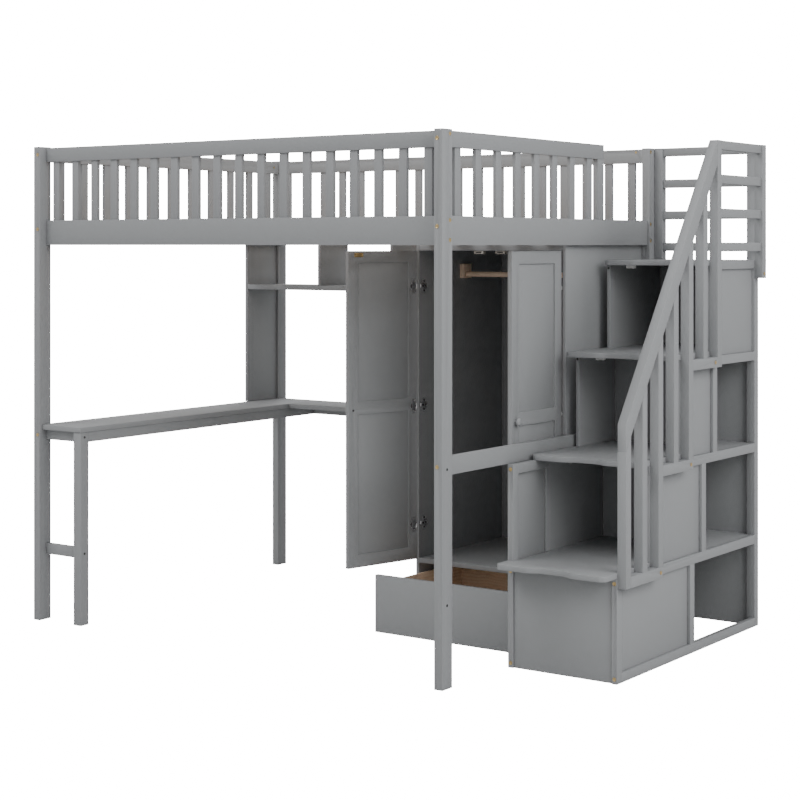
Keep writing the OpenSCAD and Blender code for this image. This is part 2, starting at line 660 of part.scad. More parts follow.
post_front_left();
post_front_right();
post_back_left();
post_back_right();
long_rail_front();
long_rail_back();
end_rails();
guard_rail_front();
guard_rail_back();
guard_rail_left();
guard_rail_right();
guard_slats_front();
guard_slats_back();
guard_slats_left();
guard_slats_right();
mid_rail();
slat_supports();
mattress_slats();
desk_top_long();
desk_top_back();
desk_leg();
desk_rails();
desk_aprons();
shelf_side();
shelf_board();
shelf_dividers();
wardrobe_sides();
wardrobe_back();
wardrobe_boards();
hanging_rod();
rod_blocks();
door_catches();
hinge_plates();
left_door_frame();
left_door_panels();
left_door_fittings();
right_door_frame();
right_door_panels();
right_door_fittings();
drawer_front();
drawer_box();
drawer_bottom();
drawer_runners();
drawer_slides();
stair_inner_wall();
stair_frame_rails();
stair_frame_stiles();
stair_panels();
stair_partitions();
stair_floors();
stair_back();
treads();
platform();
tread_clips();
balusters();
handrail();
handrail_feet();
stair_guard_posts();
stair_guard_rails();
bolts_and_nuts();
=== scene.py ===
"""Looks of a loft bed with desk, wardrobe and box stairs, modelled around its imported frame."""
import json
import math

import bmesh
import bpy
from bpy.props import FloatProperty, FloatVectorProperty, IntProperty, PointerProperty
from mathutils import Matrix, Vector


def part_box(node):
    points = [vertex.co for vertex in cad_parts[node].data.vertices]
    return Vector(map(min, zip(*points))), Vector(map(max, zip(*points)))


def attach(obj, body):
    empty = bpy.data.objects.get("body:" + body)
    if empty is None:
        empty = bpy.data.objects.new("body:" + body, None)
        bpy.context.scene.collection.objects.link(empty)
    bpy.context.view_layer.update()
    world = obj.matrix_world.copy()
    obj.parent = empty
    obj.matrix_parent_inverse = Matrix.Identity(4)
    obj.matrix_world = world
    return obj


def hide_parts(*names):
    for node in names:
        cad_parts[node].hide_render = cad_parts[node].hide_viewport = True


bl_info = {
    "name": "Loft Bed Finish",
    "version": (1, 0, 0),
    "blender": (4, 5, 0),
    "location": "View3D > Sidebar > Loft Bed",
    "description": "Painted boards, door and drawer hardware and a studio for a loft bed with desk",
    "category": "Object",
}

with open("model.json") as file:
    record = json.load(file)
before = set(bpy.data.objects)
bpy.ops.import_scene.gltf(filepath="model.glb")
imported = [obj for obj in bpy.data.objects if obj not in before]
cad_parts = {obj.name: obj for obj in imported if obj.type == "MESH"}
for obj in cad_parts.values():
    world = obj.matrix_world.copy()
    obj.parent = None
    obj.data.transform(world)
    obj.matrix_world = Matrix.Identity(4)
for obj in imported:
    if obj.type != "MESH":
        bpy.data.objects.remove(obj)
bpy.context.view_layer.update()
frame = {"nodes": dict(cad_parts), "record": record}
NODES = frame["nodes"]
BODIES = frame["record"]["behaviour"]["bodies"]
BODY_OF = {node: body for body, nodes in BODIES.items() for node in nodes}
HINGE_OF = {joint["child"]: joint for joint in frame["record"]["behaviour"]["joints"]}
# Turn of each door, from shut to where it hangs
DOOR_OPEN = {"left_door": math.radians(-105), "right_door": math.radians(90)}
MERGE = 0.00002     # points of a CAD mesh closer than this are one point


# ---------------------------------------------------------------- settings
class BoardSettings(bpy.types.PropertyGroup):
    edge_round: FloatProperty(name="Edge Round", description="Width of the sanded edge on a painted board",
                              default=0.0016, unit="LENGTH")
    edge_steps: IntProperty(name="Edge Steps", description="Segments across a sanded edge", default=2)
    angle: FloatProperty(name="Edge Angle", description="Corners sharper than this are rounded",
                         default=math.radians(35), subtype="ANGLE")


class PaintSettings(bpy.types.PropertyGroup):
    grey: FloatVectorProperty(name="Grey Paint", description="Colour of the painted boards",
                              default=(0.222, 0.226, 0.232), subtype="COLOR")
    # Lighter grey put on the convex edges of the boards: a painted edge highlight
    grey_edge_highlight: FloatVectorProperty(name="Highlight Edge", description="Colour of the paint along highlit edges",
                                   default=(0.300, 0.307, 0.312), subtype="COLOR")
    pine_light: FloatVectorProperty(name="Pine Light", description="Early wood of the bare pine",
                                    default=(0.80, 0.62, 0.47), subtype="COLOR")
    pine_dark: FloatVectorProperty(name="Pine Dark", description="Late wood of the bare pine",
                                   default=(0.62, 0.44, 0.30), subtype="COLOR")
    nickel: FloatVectorProperty(name="Nickel", description="Colour of the hinges and slides",
                                default=(0.62, 0.62, 0.63), subtype="COLOR")
    brass: FloatVectorProperty(name="Brass", description="Colour of the bolts", default=(0.52, 0.36, 0.15),
                               subtype="COLOR")
    white: FloatVectorProperty(name="White Plastic", description="Colour of the clips and catches",
                               default=(0.74, 0.74, 0.72), subtype="COLOR")


class HardwareSettings(bpy.types.PropertyGroup):
    cup_d: FloatProperty(name="Cup", description="Diameter of a hinge cup", default=0.035, unit="LENGTH")
    screw_d: FloatProperty(name="Screw", description="Head diameter of a wood screw", default=0.008,
                           unit="LENGTH")
    knob_d: FloatProperty(name="Knob", description="Diameter of a door knob", default=0.030, unit="LENGTH")
    bolt_d: FloatProperty(name="Bolt Head", description="Diameter of a frame bolt's head", default=0.0135,
                          unit="LENGTH")


class StageSettings(bpy.types.PropertyGroup):
    lens: FloatProperty(name="Lens", description="Focal length on a 36 mm sensor", default=77.91)
    shift_x: FloatProperty(name="Shift X", description="Sideways lens shift", default=-0.125)
    shift_y: FloatProperty(name="Shift Y", description="Upward lens shift", default=-0.1936)
    eye: FloatVectorProperty(name="Eye", description="Where the camera stands",
                             default=(4.1272, -5.4526, 1.4891), subtype="XYZ", unit="LENGTH")
    turn: FloatProperty(name="Turn", description="Direction the camera looks in", subtype="ANGLE",
                        default=math.radians(33.71))
    ambient: FloatProperty(name="Ambient", description="Light from all round", default=0.76)
    backdrop: FloatProperty(name="Backdrop", description="How bright the background looks", default=20.0)
    floor_glow: FloatProperty(name="Floor Glow", description="How bright the floor looks", default=20.0)
    floor_share: FloatProperty(name="Floor Share", description="How much of the floor is that bright",
                               default=0.85, subtype="FACTOR")
    key: FloatProperty(name="Key", description="Power of the front light in watts", default=330)
    side: FloatProperty(name="Side", description="Power of the light beside the stairs", default=280)
    back: FloatProperty(name="Back", description="Power of the light behind", default=140)
    floor_size: FloatProperty(name="Floor", description="Side of the floor", default=60.0, unit="LENGTH")


def settings(name):
    return getattr(bpy.context.scene, "loft_" + name)


# ---------------------------------------------------------------- mesh helpers
def deselect():
    if bpy.context.object and bpy.context.object.mode != "OBJECT":
        bpy.ops.object.mode_set(mode="OBJECT")
    bpy.ops.object.select_all(action="DESELECT")


def pick(piece):
    deselect()
    piece.select_set(True)
    bpy.context.view_layer.objects.active = piece


def coat(piece, material):
    piece.data.materials.clear()
    piece.data.materials.append(material)


def settle(piece, name, material, body):
    """Name a finished piece, give it its finish and put it on its body."""
    pick(piece)
    bpy.ops.object.transform_apply(location=True, rotation=True, scale=True)
    piece.name = piece.data.name = name
    coat(piece, material)
    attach(piece, body)
    return piece


def apply_modifier(piece, kind, **values):
    pick(piece)
    modifier = piece.modifiers.new(kind.title(), kind)
    for key, value in values.items():
        setattr(modifier, key, value)
    bpy.ops.object.modifier_apply(modifier=modifier.name)


def in_edit(piece, action):
    """Run one editing action on a whole mesh, in edit mode."""
    pick(piece)
    bpy.ops.object.mode_set(mode="EDIT")
    bpy.ops.mesh.select_all(action="SELECT")
    action()
    bpy.ops.object.mode_set(mode="OBJECT")


def join(pieces):
    deselect()
    for piece in pieces:
        piece.select_set(True)
    bpy.context.view_layer.objects.active = pieces[0]
    bpy.ops.object.join()
    return pieces[0]


def rounded_copy(node):
    """A node's board with sanded edges."""
    board = settings("board")
    piece = bpy.data.objects.new(node + "_sanded", NODES[node].data.copy())
    bpy.context.scene.collection.objects.link(piece)

    def clean():
        bpy.ops.mesh.remove_doubles(threshold=MERGE)
        bpy.ops.mesh.dissolve_limited(angle_limit=math.radians(1))
    in_edit(piece, clean)
    apply_modifier(piece, "BEVEL", width=board.edge_round, segments=board.edge_steps, limit_method="ANGLE",
                   angle_limit=board.angle, use_clamp_overlap=True)
    pick(piece)
    bpy.ops.object.shade_smooth_by_angle(angle=math.radians(40))
    return piece


def disc(radius, depth, centre, normal, bevel, sides=24):
    """A short round, standing on a face: its base is at the centre and it grows along the normal."""
    deselect()
    bpy.ops.mesh.primitive_cylinder_add(vertices=sides, radius=radius, depth=depth)
    piece = bpy.context.object
    apply_modifier(piece, "BEVEL", width=bevel, segments=2, limit_method="ANGLE",
                   angle_limit=math.radians(50))
    turn = Vector(normal).to_track_quat("Z", "Y").to_matrix().to_4x4()
    place = Matrix.Translation(Vector(centre)) @ turn @ Matrix.Translation((0, 0, depth / 2))
    piece.data.transform(place)
    return piece


def drive_recess(piece, wall, depth, normal):
    """Sink the outermost face of a piece, leaving a wall round it."""
    pick(piece)
    direction = Vector(normal).normalized()
    mesh = bmesh.new()
    mesh.from_mesh(piece.data)
    top = max(mesh.faces, key=lambda face: face.calc_center_median().dot(direction))
    bmesh.ops.inset_region(mesh, faces=[top], thickness=wall)
    bmesh.ops.translate(mesh, verts=top.verts, vec=-direction * depth)
    mesh.to_mesh(piece.data)
    mesh.free()
    return piece


def block(size, centre, bevel, turn=0.0):
    """A small rounded block of hardware, turned about Z."""
    deselect()
    bpy.ops.mesh.primitive_cube_add(size=1)
    piece = bpy.context.object
    piece.data.transform(Matrix.Diagonal((*size, 1)))
    apply_modifier(piece, "BEVEL", width=bevel, segments=2)
    piece.data.transform(Matrix.Translation(Vector(centre)) @ Matrix.Rotation(turn, 4, "Z"))
    return piece


def loose_parts(node):
    """Boxes of the separate solids in a CAD node, with the vertices of each."""
    mesh = bmesh.new()
    mesh.from_mesh(NODES[node].data)
    bmesh.ops.remove_doubles(mesh, verts=mesh.verts, dist=MERGE)
    unseen = set(mesh.verts)
    parts = []
    while unseen:
        front = [unseen.pop()]
        found = []
        while front:
            vertex = front.pop()
            found.append(vertex.co.copy())
            for edge in vertex.link_edges:
                other = edge.other_vert(vertex)
                if other in unseen:
                    unseen.remove(other)
                    front.append(other)
        low = Vector([min(point[axis] for point in found) for axis in range(3)])
        high = Vector([max(point[axis] for point in found) for axis in range(3)])
        parts.append((low, high, found))
    mesh.free()
    return sorted(parts, key=lambda part: (round(part[0].z, 4), round(part[0].x, 4), round(part[0].y, 4)))


def middle(part):
    return (part[0] + part[1]) / 2


def corner(node, x, y, z):
    """A point of a node's box: 0 is its low side and 1 its high side on each axis."""
    low, high = (Vector(end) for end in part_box(node))
    return Vector([low[axis] + (high[axis] - low[axis]) * share for axis, share in enumerate((x, y, z))])


# ---------------------------------------------------------------- shader groups
def new_group(name, inputs, outputs):
    group = bpy.data.node_groups.new(name, "ShaderNodeTree")
    for label, kind, value in inputs:
        socket = group.interface.new_socket(label, in_out="INPUT", socket_type=kind)
        socket.default_value = value
    for label, kind in outputs:
        group.interface.new_socket(label, in_out="OUTPUT", socket_type=kind)
    source = group.nodes.new("NodeGroupInput")
    sink = group.nodes.new("NodeGroupOutput")
    return group, source, sink


def math_node(tree, operation, first, second):
    node = tree.nodes.new("ShaderNodeMath")
    node.operation = operation
    for socket, value in zip(node.inputs, (first, second)):
        if isinstance(value, bpy.types.NodeSocket):
            tree.links.new(value, socket)
        else:
            socket.default_value = value
    return node.outputs[0]


def noise(tree, scale, detail, roughness=0.5, stretch=(1, 1, 1)):
    """Noise on object coordinates, stretched along the axes."""
    coordinates = tree.nodes.new("ShaderNodeTexCoord")
    mapping = tree.nodes.new("ShaderNodeMapping")
    mapping.inputs["Scale"].default_value = stretch
    tree.links.new(coordinates.outputs["Object"], mapping.inputs["Vector"])
    texture = tree.nodes.new("ShaderNodeTexNoise")
    texture.inputs["Detail"].default_value = detail
    texture.inputs["Roughness"].default_value = roughness
    tree.links.new(mapping.outputs["Vector"], texture.inputs["Vector"])
    if isinstance(scale, bpy.types.NodeSocket):
        tree.links.new(scale, texture.inputs["Scale"])
    else:
        texture.inputs["Scale"].default_value = scale
    return texture.outputs["Fac"]


def blend_colour(tree, factor, first, second):
    node = tree.nodes.new("ShaderNodeMix")
    node.data_type = "RGBA"
    for label, value in (("Factor", factor), ("A", first), ("B", second)):
        socket = node.inputs[label]
        if isinstance(value, bpy.types.NodeSocket):
            tree.links.new(value, socket)
        else:
            socket.default_value = value
    return node.outputs["Result"]


def spread(tree, value, low, high, to_low, to_high):
    """Stretch the range low to high of a value over to_low to to_high."""
    node = tree.nodes.new("ShaderNodeMapRange")
    tree.links.new(value, node.inputs["Value"])
    for label, number in (("From Min", low), ("From Max", high), ("To Min", to_low), ("To Max", to_high)):
        node.inputs[label].default_value = number
    return node.outputs["Result"]


def paint_film_group():
    """Sprayed paint over wood: faint clouding, fine orange peel, the grain that telegraphs through and a
    painted highlight along convex edges.
    """
    group, source, sink = new_group(
        "paint_film",
        [("Colour", "NodeSocketColor", (0.24, 0.24, 0.25, 1)),
         ("Highlight", "NodeSocketColor", (0.3, 0.3, 0.31, 1)),
         ("Cloud", "NodeSocketFloat", 0.12), ("Peel Scale", "NodeSocketFloat", 900.0)],
        [("Colour", "NodeSocketColor"), ("Roughness", "NodeSocketFloat"), ("Height", "NodeSocketFloat")])
    cloud = noise(group, 3.5, 4)
    grain_x = noise(group, 60, 5, 0.6, (0.06, 1, 1))
    grain_z = noise(group, 60, 5, 0.6, (1, 1, 0.06))
    peel = noise(group, source.outputs["Peel Scale"], 2)
    grain = math_node(group, "MULTIPLY", grain_x, grain_z)
    mottled = math_node(group, "MULTIPLY", spread(group, cloud, 0.3, 0.7, -0.5, 0.5), source.outputs["Cloud"])
    level = math_node(group, "ADD", mottled, spread(group, grain, 0.1, 0.4, 1.03, 0.97))
    scaled = group.nodes.new("ShaderNodeVectorMath")
    scaled.operation = "SCALE"
    group.links.new(source.outputs["Colour"], scaled.inputs[0])
    group.links.new(level, scaled.inputs["Scale"])
    geometry = group.nodes.new("ShaderNodeNewGeometry")
    # Convex edges (high pointiness) get the lighter second colour: a painted edge highlight
    edge = spread(group, geometry.outputs["Pointiness"], 0.53, 0.60, 0.0, 0.55)
    colour = blend_colour(group, edge, scaled.outputs[0], source.outputs["Highlight"])
    group.links.new(colour, sink.inputs["Colour"])
    group.links.new(spread(group, peel, 0.3, 0.7, 0.50, 0.60), sink.inputs["Roughness"])
    height = math_node(group, "ADD", math_node(group, "MULTIPLY", peel, 0.35), grain)
    group.links.new(height, sink.inputs["Height"])
    return group


def pine_grain_group():
    """Growth rings and fine fibres along X, Y or Z of bare pine."""
    group, source, sink = new_group(
        "pine_grain",
        [("Light", "NodeSocketColor", (0.8, 0.62, 0.47, 1)),
         ("Dark", "NodeSocketColor", (0.62, 0.44, 0.3, 1)),
         ("Along", "NodeSocketVector", (0.05, 1.0, 1.0)), ("Ring Scale", "NodeSocketFloat", 26.0)],
        [("Colour", "NodeSocketColor"), ("Roughness", "NodeSocketFloat"), ("Height", "NodeSocketFloat")])
    coordinates = group.nodes.new("ShaderNodeTexCoord")
    stretch = group.nodes.new("ShaderNodeVectorMath")
    stretch.operation = "MULTIPLY"
    group.links.new(coordinates.outputs["Object"], stretch.inputs[0])
    group.links.new(source.outputs["Along"], stretch.inputs[1])
    wander = group.nodes.new("ShaderNodeTexNoise")
    wander.inputs["Scale"].default_value = 4.0
    group.links.new(stretch.outputs[0], wander.inputs["Vector"])
    offset = group.nodes.new("ShaderNodeVectorMath")
    offset.operation = "MULTIPLY_ADD"
    offset.inputs[1].default_value = (0.07, 0.07, 0.07)
    group.links.new(wander.outputs["Color"], offset.inputs[0])
    group.links.new(stretch.outputs[0], offset.inputs[2])
    rings = group.nodes.new("ShaderNodeTexWave")
    rings.wave_type = "RINGS"
    rings.inputs["Distortion"].default_value = 2.5
    rings.inputs["Detail"].default_value = 2.0
    group.links.new(offset.outputs[0], rings.inputs["Vector"])
    group.links.new(source.outputs["Ring Scale"], rings.inputs["Scale"])
    fibre = group.nodes.new("ShaderNodeTexNoise")
    fibre.inputs["Scale"].default_value = 260.0
    fibre.inputs["Detail"].default_value = 4.0
    group.links.new(stretch.outputs[0], fibre.inputs["Vector"])
    ring = spread(group, rings.outputs["Fac"], 0.35, 0.95, 0.0, 0.3)
    mask = math_node(group, "ADD", ring, spread(group, fibre.outputs["Fac"], 0.35, 0.75, -0.08, 0.22))
    group.links.new(blend_colour(group, mask, source.outputs["Light"], source.outputs["Dark"]),
                    sink.inputs["Colour"])
    group.links.new(spread(group, fibre.outputs["Fac"], 0.3, 0.7, 0.42, 0.56), sink.inputs["Roughness"])
    group.links.new(fibre.outputs["Fac"], sink.inputs["Height"])
    return group


def metal_wear_group():
    """Plated metal: fine brushing, smudges and duller patches."""
    group, source, sink = new_group(
        "metal_wear",
        [("Colour", "NodeSocketColor", (0.6, 0.6, 0.6, 1)), ("Dull", "NodeSocketColor", (0.4, 0.4, 0.4, 1)),
         ("Base Roughness", "NodeSocketFloat", 0.25)],
        [("Colour", "NodeSocketColor"), ("Roughness", "NodeSocketFloat"), ("Height", "NodeSocketFloat")])
    smudge = noise(group, 70, 4)
    brushed = noise(group, 1500, 2, 0.5, (1, 1, 0.05))
    group.links.new(blend_colour(group, spread(group, smudge, 0.45, 0.7, 0, 0.5), source.outputs["Colour"],
                                 source.outputs["Dull"]), sink.inputs["Colour"])
    rough = math_node(group, "ADD", source.outputs["Base Roughness"],
                      spread(group, smudge, 0.35, 0.7, 0, 0.18))
    group.links.new(rough, sink.inputs["Roughness"])
    group.links.new(brushed, sink.inputs["Height"])
    return group


def finish(name, group, values, bump, **plain):
    """A material fed with colour, roughness and height by one group; bump is strength and distance."""
    material = bpy.data.materials.new(name)
    material.use_nodes = True
    tree = material.node_tree
    shader = tree.nodes["Principled BSDF"]
    for label, value in plain.items():
        shader.inputs[label.replace("_", " ")].default_value = value
    effect = tree.nodes.new("ShaderNodeGroup")
    effect.node_tree = group
    for label, value in values.items():
        effect.inputs[label].default_value = value
    relief = tree.nodes.new("ShaderNodeBump")
    relief.inputs["Strength"].default_value = bump[0]
    relief.inputs["Distance"].default_value = bump[1]
    tree.links.new(effect.outputs["Height"], relief.inputs["Height"])
    tree.links.new(relief.outputs["Normal"], shader.inputs["Normal"])
    tree.links.new(effect.outputs["Colour"], shader.inputs["Base Color"])
    tree.links.new(effect.outputs["Roughness"], shader.inputs["Roughness"])
    return material


def rgba(colour):
    return (*colour, 1.0)


class LOFT_OT_finishes(bpy.types.Operator):
    """Mix the paint, pine, metal and plastic finishes"""
    bl_idname = "loft.finishes"
    bl_label = "Mix Finishes"

    def execute(self, context):
        colours = settings("paint")
        film, grain, wear = paint_film_group(), pine_grain_group(), metal_wear_group()
        # The grey paint's lighter edge colour is a painted edge highlight
        finish("grey_paint", film, {"Colour": rgba(colours.grey), "Highlight": rgba(colours.grey_edge_highlight)},
               (0.18, 0.0006), Specular_IOR_Level=0.38)
        for axis, along in (("x", (0.06, 1, 1)), ("y", (1, 0.06, 1)), ("z", (1, 1, 0.06))):
            finish("pine_" + axis, grain, {"Light": rgba(colours.pine_light), "Dark": rgba(colours.pine_dark),
                                           "Along": along}, (0.2, 0.0004), Specular_IOR_Level=0.4)
        finish("nickel", wear, {"Colour": rgba(colours.nickel), "Dull": (0.36, 0.36, 0.37, 1)},
               (0.06, 0.0002), Metallic=1.0)
        finish("dark_steel", wear, {"Colour": (0.10, 0.10, 0.10, 1), "Dull": (0.05, 0.05, 0.05, 1),
                                    "Base Roughness": 0.4}, (0.06, 0.0002), Metallic=1.0)
        finish("brass", wear, {"Colour": rgba(colours.brass), "Dull": (0.30, 0.20, 0.08, 1),
                               "Base Roughness": 0.32}, (0.08, 0.0002), Metallic=1.0)
        # The plastics' lighter edge colours are painted edge highlights too
        finish("white_plastic", film, {"Colour": rgba(colours.white), "Highlight": (0.8, 0.8, 0.79, 1),
                                       "Cloud": 0.04, "Peel Scale": 1600.0}, (0.05, 0.0003))
        finish("catch_plastic", film, {"Colour": (0.42, 0.40, 0.36, 1), "Highlight": (0.5, 0.48, 0.44, 1),
                                       "Cloud": 0.05, "Peel Scale": 1600.0}, (0.05, 0.0003))
        return {"FINISHED"}


def named(material):
    return bpy.data.materials[material]


# ---------------------------------------------------------------- boards
PINE_ALONG = {"slat_supports": "pine_x", "mattress_slats": "pine_y", "hanging_rod": "pine_x",
              "rod_blocks": "pine_z", "drawer_box": "pine_y", "drawer_bottom": "pine_x"}
# Nodes that the hardware operators replace piece by piece, all but the bolts and nuts, which are kept and
# given new heads
HARDWARE_NODES = {"hinge_plates": "nickel", "left_door_fittings": "nickel", "right_door_fittings": "nickel",
                  "drawer_runners": "nickel", "drawer_slides": "nickel", "bolts_and_nuts": "brass",
                  "door_catches": "white_plastic", "tread_clips": "white_plastic"}
ROUND_NODES = {"hanging_rod"}


class LOFT_OT_boards(bpy.types.Operator):
    """Sand the edges of every board and paint or oil it"""
    bl_idname = "loft.boards"
    bl_label = "Finish Boards"

    def execute(self, context):
        for node, source in NODES.items():
            material = named(HARDWARE_NODES.get(node) or PINE_ALONG.get(node, "grey_paint"))
            if node in HARDWARE_NODES or node in ROUND_NODES:
                coat(source, material)
                continue
            piece = rounded_copy(node)
            settle(piece, node + "_board", material, BODY_OF[node])
            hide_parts(node)
        return {"FINISHED"}


# ---------------------------------------------------------------- door hardware
# A hinge cup's pieces, set from the cup's middle and the door's inner face. The flange, the rim and the
# link stand out less than the gap between a shut door and the wardrobe's sides.
FLANGE = (0.020, 0.0016, 0.054)
FLANGE_X = -0.001
RIM_DEPTH = 0.0022
RIM_SUNK = 0.0015
RIM_WALL = 0.0022
RIM_RECESS = 0.0016
BOWL_IN = 0.004
BOWL_DEPTH = 0.0009
BOWL_SUNK = 0.0011
LINK = (0.013, 0.0026, 0.011)
LINK_X = -0.005
LINK_SUNK = 0.0006
CUP_SCREW_X = -0.003
CUP_SCREW_Z = 0.0215
STRIKE = (0.042, 0.0014, 0.016)
STRIKE_SCREW_X = 0.014
KNOB_SCREW_R = 0.0046
KNOB_SCREW_DEPTH = 0.0012
# What tells a knob from a cup, and a cup from a strike plate, among a door's fittings
KNOB_PAST_DOOR = 0.005
CUP_TALLER_THAN = 0.030


class Door:
    """Maps a closed door's own X (from its hinge edge) and Y (from its face) to where it hangs."""

    def __init__(self, body):
        self.body = body
        self.side = 1 if body == "left_door" else -1
        self.turn = Matrix.Rotation(DOOR_OPEN[body], 3, "Z")
        self.pivot = Vector(HINGE_OF[body]["pos_m"])

    def way(self, x, y, z=0.0):
        return self.turn @ Vector((self.side * x, y, 0)) + Vector((0, 0, z))

    def place(self, x, y, z):
        flat = self.pivot + self.way(x, y)
        return Vector((flat.x, flat.y, z))

    @property
    def angle(self):
        return DOOR_OPEN[self.body]


def door_layout():
    """Where the cups, the knob and the strike plate lie on a door, read off the right-hand one."""
    low, high = (Vector(end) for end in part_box("right_door_frame"))
    pivot = Vector(HINGE_OF["right_door"]["pos_m"])
    spots = {"cups": [], "thick": high.x - low.x}
    for part in loose_parts("right_door_fittings"):
        spot = middle(part)
        size = part[1] - part[0]
        place = (pivot.y - spot.y, spot.z)
        if size.x > spots["thick"] + KNOB_PAST_DOOR:
            spots["knob"] = place
        elif size.z > CUP_TALLER_THAN:
            spots["cups"].append(place)
        else:
            spots["strike"] = place
    return spots


def screw(centre, normal):
    """A pan-head wood screw with a round drive."""
    radius = settings("hardware").screw_d / 2
    height = 0.0011
    head = disc(radius, height, centre, normal, 0.0004, sides=20)
    return drive_recess(head, radius * 0.45, height * 0.7, normal)


def knob_profile():
    """Radius and height up a turned knob, from the door face outwards."""
    radius = settings("hardware").knob_d / 2
    length = 0.024
    ball = 0.0155
    foot = radius * 0.62
    neck = radius * 0.42
    points = [(foot, 0.0), (foot, 0.0022), (neck, 0.0045), (neck, 0.0085)]
    steps = 8
    for step in range(steps + 1):
        swing = math.radians(-50 + 140 * step / steps)
        points.append((max(radius * math.cos(swing), 0.0), ball + (length - ball) * math.sin(swing)))
    return points


def lathe(profile, centre, normal, steps=32):
    """Spin a profile about the normal and close it."""
    mesh = bpy.data.meshes.new("turned")
    mesh.from_pydata([(radius, 0, height) for radius, height in profile],
                     [(step, step + 1) for step in range(len(profile) - 1)], [])
    piece = bpy.data.objects.new("turned", mesh)
    bpy.context.scene.collection.objects.link(piece)

    def spin():
        bpy.ops.mesh.spin(steps=steps, angle=math.tau, center=(0, 0, 0), axis=(0, 0, 1))
        bpy.ops.mesh.select_all(action="SELECT")
        bpy.ops.mesh.remove_doubles(threshold=0.00005)
        bpy.ops.mesh.select_all(action="DESELECT")
        bpy.ops.mesh.select_non_manifold()
        bpy.ops.mesh.edge_face_add()
        bpy.ops.mesh.select_all(action="SELECT")
        bpy.ops.mesh.normals_make_consistent(inside=False)
    in_edit(piece, spin)
    turn = Vector(normal).to_track_quat("Z", "Y").to_matrix().to_4x4()
    piece.data.transform(Matrix.Translation(Vector(centre)) @ turn)
    pick(piece)
    bpy.ops.object.shade_smooth_by_angle(angle=math.radians(50))
    return piece


def hinge_cup(door, inner, x, z):
    """Flange, rim and link of one cup, its dark bowl and its two screws."""
    radius = settings("hardware").cup_d / 2
    inward = door.way(0, 1)
    flange = block(FLANGE, door.place(x + FLANGE_X, inner, z), 0.0006, door.angle)
    rim = disc(radius, RIM_DEPTH, door.place(x, inner - RIM_SUNK, z), inward, 0.0005, sides=40)
    drive_recess(rim, RIM_WALL, RIM_RECESS, inward)
    bowl = disc(radius - BOWL_IN, BOWL_DEPTH, door.place(x, inner - BOWL_SUNK, z), inward, 0.0003, sides=32)
    link = block(LINK, door.place(x + LINK_X, inner - LINK_SUNK, z), 0.0009, door.angle)
    screws = [screw(door.place(x + CUP_SCREW_X, inner + FLANGE[1] / 2, z + lift), inward)
              for lift in (-CUP_SCREW_Z, CUP_SCREW_Z)]
    return [flange, rim, link], bowl, screws


class LOFT_OT_door_hardware(bpy.types.Operator):
    """Fit the doors with hinge cups, turned knobs and strike plates"""
    bl_idname = "loft.door_hardware"
    bl_label = "Fit Door Hardware"

    def execute(self, context):
        layout = door_layout()
        inner = layout["thick"]
        for body in DOOR_OPEN:
            door = Door(body)
            inward = door.way(0, 1)
            cups, bowls, screws = [], [], []
            for x, z in layout["cups"]:
                plated, bowl, pair = hinge_cup(door, inner, x, z)
                cups += plated
                bowls.append(bowl)
                screws += pair
            steel = settle(join(cups), body + "_hinge_cups", named("nickel"), body)
            settle(join(bowls), body + "_cup_bowls", named("dark_steel"), body)
            settle(join(screws), body + "_cup_screws", named("nickel"), body)
            x, z = layout["knob"]
            knob = lathe(knob_profile(), door.place(x, 0, z), -inward)
            settle(knob, body + "_knob", named("grey_paint"), body)
            back = disc(KNOB_SCREW_R, KNOB_SCREW_DEPTH, door.place(x, inner, z), inward, 0.0004)
            settle(drive_recess(back, 0.0020, 0.0009, inward), body + "_knob_screw", named("dark_steel"),
                   body)
            x, z = layout["strike"]
            plate = block(STRIKE, door.place(x, inner + STRIKE[1] / 2, z), 0.0005, door.angle)
            settle(plate, body + "_strike", named("brass"), body)
            pair = [screw(door.place(x + step, inner + STRIKE[1], z), inward)
                    for step in (-STRIKE_SCREW_X, STRIKE_SCREW_X)]
            settle(join(pair), body + "_strike_screws", named("brass"), body)
            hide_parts(body + "_fittings")
        return {"FINISHED"}


# A hinge's plate and arm, set from the front of the CAD plate and the wardrobe side's inner face
CROSS_BAR = (0.002, 0.016, 0.052)
CROSS_FOOT = (0.0026, 0.040, 0.017)
CROSS_Y = 0.030
CROSS_FOOT_Y = -0.004
CROSS_SCREW_Z = 0.019
ARM = (0.008, 0.042, 0.0125)
ARM_LIFT = 0.0066
ARM_SCREW_LIFT = 0.0094
ARM_SCREW_Y = (0.012, 0.031)


